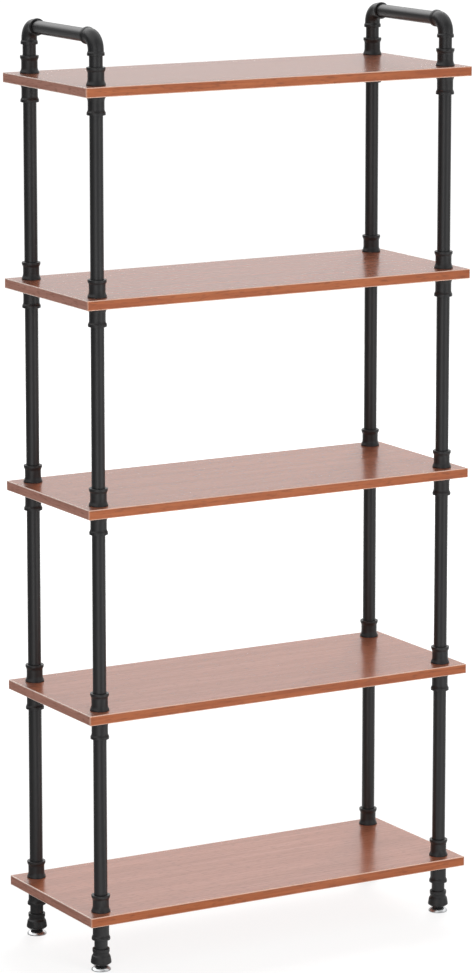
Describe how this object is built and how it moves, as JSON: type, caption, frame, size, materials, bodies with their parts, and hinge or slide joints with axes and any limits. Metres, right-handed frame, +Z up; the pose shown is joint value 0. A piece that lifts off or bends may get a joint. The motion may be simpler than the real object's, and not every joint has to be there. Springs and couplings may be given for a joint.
{
  "type": "pipe shelving unit",
  "caption": "Tall open shelving unit of wood boards on threaded black pipe posts, with end rails on top and adjustable feet.",
  "frame": {"origin": "on the floor, under the middle of the unit", "axes": "+X along the width, +Y from front to back, +Z up"},
  "size_m": [0.8, 0.322, 1.7107],
  "materials": {
    "laminate": "brown wood-grain laminate, semi-gloss",
    "black_coat": "satin black powder coat on steel and cast fittings",
    "zinc_plate": "bright zinc-plated steel"
  },
  "bodies": {
    "shelving": {"shelf_1": "laminate", "shelf_2": "laminate", "shelf_3": "laminate", "shelf_4": "laminate", "shelf_5": "laminate", "front_left_upper_coupling_1": "black_coat", "front_left_upper_coupling_2": "black_coat", "front_left_upper_coupling_3": "black_coat", "front_left_upper_coupling_4": "black_coat", "front_left_upper_coupling_5": "black_coat", "front_left_pipe_1": "black_coat", "front_left_pipe_2": "black_coat", "front_left_pipe_3": "black_coat", "front_left_pipe_4": "black_coat", "front_left_leg": "black_coat", "front_left_elbow": "black_coat", "front_right_upper_coupling_1": "black_coat", "front_right_upper_coupling_2": "black_coat", "front_right_upper_coupling_3": "black_coat", "front_right_upper_coupling_4": "black_coat", "front_right_upper_coupling_5": "black_coat", "front_right_pipe_1": "black_coat", "front_right_pipe_2": "black_coat", "front_right_pipe_3": "black_coat", "front_right_pipe_4": "black_coat", "front_right_leg": "black_coat", "front_right_elbow": "black_coat", "back_left_upper_coupling_1": "black_coat", "back_left_upper_coupling_2": "black_coat", "back_left_upper_coupling_3": "black_coat", "back_left_upper_coupling_4": "black_coat", "back_left_upper_coupling_5": "black_coat", "back_left_pipe_1": "black_coat", "back_left_pipe_2": "black_coat", "back_left_pipe_3": "black_coat", "back_left_pipe_4": "black_coat", "back_left_leg": "black_coat", "back_left_elbow": "black_coat", "back_right_upper_coupling_1": "black_coat", "back_right_upper_coupling_2": "black_coat", "back_right_upper_coupling_3": "black_coat", "back_right_upper_coupling_4": "black_coat", "back_right_upper_coupling_5": "black_coat", "back_right_pipe_1": "black_coat", "back_right_pipe_2": "black_coat", "back_right_pipe_3": "black_coat", "back_right_pipe_4": "black_coat", "back_right_leg": "black_coat", "back_right_elbow": "black_coat", "left_handle_rail": "black_coat", "right_handle_rail": "black_coat"},
    "front_left_pad": {"front_left_foot_pad": "zinc_plate"},
    "front_left_stud": {"front_left_foot_stud": "black_coat"},
    "front_right_pad": {"front_right_foot_pad": "zinc_plate"},
    "front_right_stud": {"front_right_foot_stud": "black_coat"},
    "back_left_pad": {"back_left_foot_pad": "zinc_plate"},
    "back_left_stud": {"back_left_foot_stud": "black_coat"},
    "back_right_pad": {"back_right_foot_pad": "zinc_plate"},
    "back_right_stud": {"back_right_foot_stud": "black_coat"}
  },
  "joints": [
    {"name": "front_left_pad_travel", "type": "slide", "parent": "shelving", "child": "front_left_pad", "axis": [0, 0, -1], "range_m": [0, 0.01]},
    {"name": "front_left_stud_turn", "type": "hinge", "parent": "front_left_pad", "child": "front_left_stud", "pos_m": [-0.363, -0.127, 0.011], "axis": [0, 0, -1], "range_deg": [0, 2880]},
    {"name": "front_right_pad_travel", "type": "slide", "parent": "shelving", "child": "front_right_pad", "axis": [0, 0, -1], "range_m": [0, 0.01]},
    {"name": "front_right_stud_turn", "type": "hinge", "parent": "front_right_pad", "child": "front_right_stud", "pos_m": [0.363, -0.127, 0.011], "axis": [0, 0, -1], "range_deg": [0, 2880]},
    {"name": "back_left_pad_travel", "type": "slide", "parent": "shelving", "child": "back_left_pad", "axis": [0, 0, -1], "range_m": [0, 0.01]},
    {"name": "back_left_stud_turn", "type": "hinge", "parent": "back_left_pad", "child": "back_left_stud", "pos_m": [-0.363, 0.127, 0.011], "axis": [0, 0, -1], "range_deg": [0, 2880]},
    {"name": "back_right_pad_travel", "type": "slide", "parent": "shelving", "child": "back_right_pad", "axis": [0, 0, -1], "range_m": [0, 0.01]},
    {"name": "back_right_stud_turn", "type": "hinge", "parent": "back_right_pad", "child": "back_right_stud", "pos_m": [0.363, 0.127, 0.011], "axis": [0, 0, -1], "range_deg": [0, 2880]}
  ],
  "couplings": [
    {"joint": "front_left_stud_turn", "follows": "front_left_pad_travel", "rad_per_m": 5026.5},
    {"joint": "front_right_stud_turn", "follows": "front_right_pad_travel", "rad_per_m": 5026.5},
    {"joint": "back_left_stud_turn", "follows": "back_left_pad_travel", "rad_per_m": 5026.5},
    {"joint": "back_right_stud_turn", "follows": "back_right_pad_travel", "rad_per_m": 5026.5}
  ]
}
